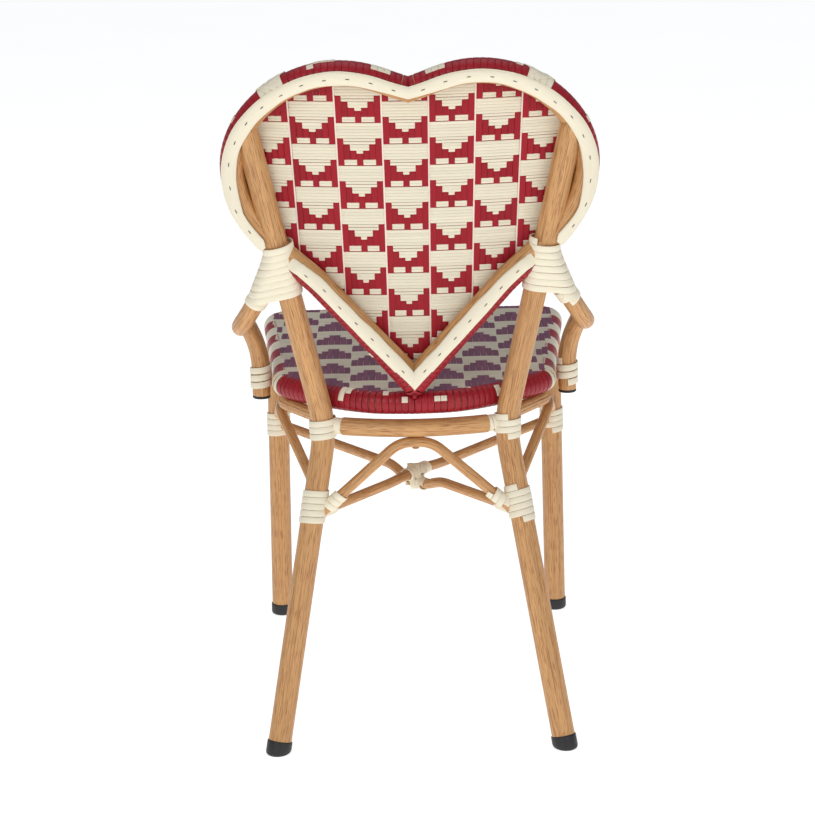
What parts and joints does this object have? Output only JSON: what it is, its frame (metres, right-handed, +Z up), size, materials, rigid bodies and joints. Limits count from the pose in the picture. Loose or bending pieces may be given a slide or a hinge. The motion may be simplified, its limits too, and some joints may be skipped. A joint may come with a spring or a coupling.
{
  "type": "bistro chair",
  "caption": "Armless bistro chair with a heart-shaped woven back, woven seat, curved side stays and strip-bound tube frame in a wood-look finish.",
  "frame": {"origin": "on the floor, at the middle of the chair's footprint", "axes": "+Z up, -Y to the front of the seat, +X to the sitter's left"},
  "size_m": [0.46, 0.5482, 0.8623],
  "materials": {
    "wood_look_aluminium": "aluminium tube, powder coated with a printed wood grain, satin",
    "cream_polyethylene": "flat polyethylene strip, satin",
    "red_and_cream_weave": "woven polyethylene strands, semi-gloss",
    "black_nylon": "moulded, matt",
    "coated_steel": "zinc plated steel with a copper tint"
  },
  "bodies": {
    "root": {"rear_post_left": "wood_look_aluminium", "rear_post_right": "wood_look_aluminium", "front_leg_left": "wood_look_aluminium", "front_leg_right": "wood_look_aluminium", "heart_lobe_left": "wood_look_aluminium", "heart_lobe_right": "wood_look_aluminium", "heart_side_left": "wood_look_aluminium", "heart_side_right": "wood_look_aluminium", "seat_ring_left": "wood_look_aluminium", "seat_ring_right": "wood_look_aluminium", "seat_hoop": "wood_look_aluminium", "side_stay_left": "wood_look_aluminium", "side_stay_right": "wood_look_aluminium", "rear_seat_rail": "wood_look_aluminium", "rear_arch": "wood_look_aluminium", "front_arch": "wood_look_aluminium", "side_arch_left": "wood_look_aluminium", "side_arch_right": "wood_look_aluminium", "cross_brace_left": "wood_look_aluminium", "cross_brace_right": "wood_look_aluminium", "rear_foot_cap_left": "black_nylon", "rear_foot_cap_right": "black_nylon", "front_foot_cap_left": "black_nylon", "front_foot_cap_right": "black_nylon", "stay_plug_left": "black_nylon", "stay_plug_right": "black_nylon", "seat_weave": "red_and_cream_weave", "back_weave": "red_and_cream_weave", "back_trim_upper": "cream_polyethylene", "back_trim_lower": "cream_polyethylene", "arch_screw_rear": "coated_steel", "arch_screw_front": "coated_steel", "arch_screw_left": "coated_steel", "arch_screw_right": "coated_steel", "post_binding_left": "cream_polyethylene", "post_binding_right": "cream_polyethylene", "stay_binding_left": "cream_polyethylene", "stay_binding_right": "cream_polyethylene", "rail_binding_left": "cream_polyethylene", "rail_binding_right": "cream_polyethylene", "rear_leg_binding_left": "cream_polyethylene", "rear_leg_binding_right": "cream_polyethylene", "front_leg_binding_left": "cream_polyethylene", "front_leg_binding_right": "cream_polyethylene", "arch_end_binding_left": "cream_polyethylene", "arch_end_binding_right": "cream_polyethylene", "cross_end_binding_left": "cream_polyethylene", "cross_end_binding_right": "cream_polyethylene", "cross_binding": "cream_polyethylene"}
  },
  "joints": []
}
